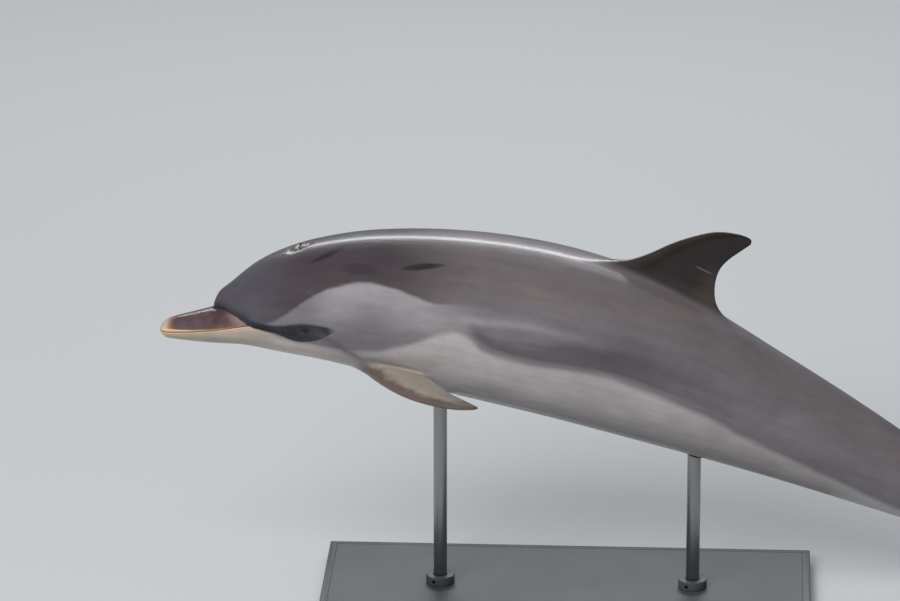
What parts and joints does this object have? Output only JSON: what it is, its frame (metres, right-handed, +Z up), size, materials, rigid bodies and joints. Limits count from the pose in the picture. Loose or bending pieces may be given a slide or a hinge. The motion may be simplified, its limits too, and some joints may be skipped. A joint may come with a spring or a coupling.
{
  "type": "bottlenose dolphin",
  "caption": "Life-size still dolphin, arched as when it breaks the surface, with a hooked dorsal fin, flippers and tail flukes, held over a plain flat base by two short rods.",
  "frame": {"origin": "centre of the stand's flat underside, at floor level", "axes": "+Z up. The dolphin swims towards -X, so its tail is at +X. Its left side faces -Y and its right side +Y"},
  "size_m": [2.224, 0.661, 0.9214],
  "materials": {
    "skin_grey": "wet grey skin, darker on the back, as painted and varnished on a cast model",
    "skin_pale": "pale wet skin of the throat, belly and flippers",
    "skin_dark": "near-black wet skin of the dorsal fin and flukes",
    "eye": "glossy dark brown eye",
    "stand_paint": "satin dark grey powder coat on sheet steel",
    "stand_steel": "brushed steel rod"
  },
  "bodies": {
    "root": {"beak_upper": "skin_grey", "jaw_lower": "skin_pale", "head": "skin_grey", "neck": "skin_grey", "trunk_front": "skin_grey", "trunk_rear": "skin_grey", "tail_stock": "skin_grey", "dorsal_fin": "skin_dark", "flipper_left": "skin_pale", "flipper_right": "skin_pale", "fluke_left": "skin_dark", "fluke_right": "skin_dark", "eye_left": "eye", "eye_right": "eye", "stand_base": "stand_paint", "stand_rod_front": "stand_steel", "stand_rod_rear": "stand_steel", "stand_collar_front": "stand_paint", "stand_collar_rear": "stand_paint"}
  },
  "joints": []
}
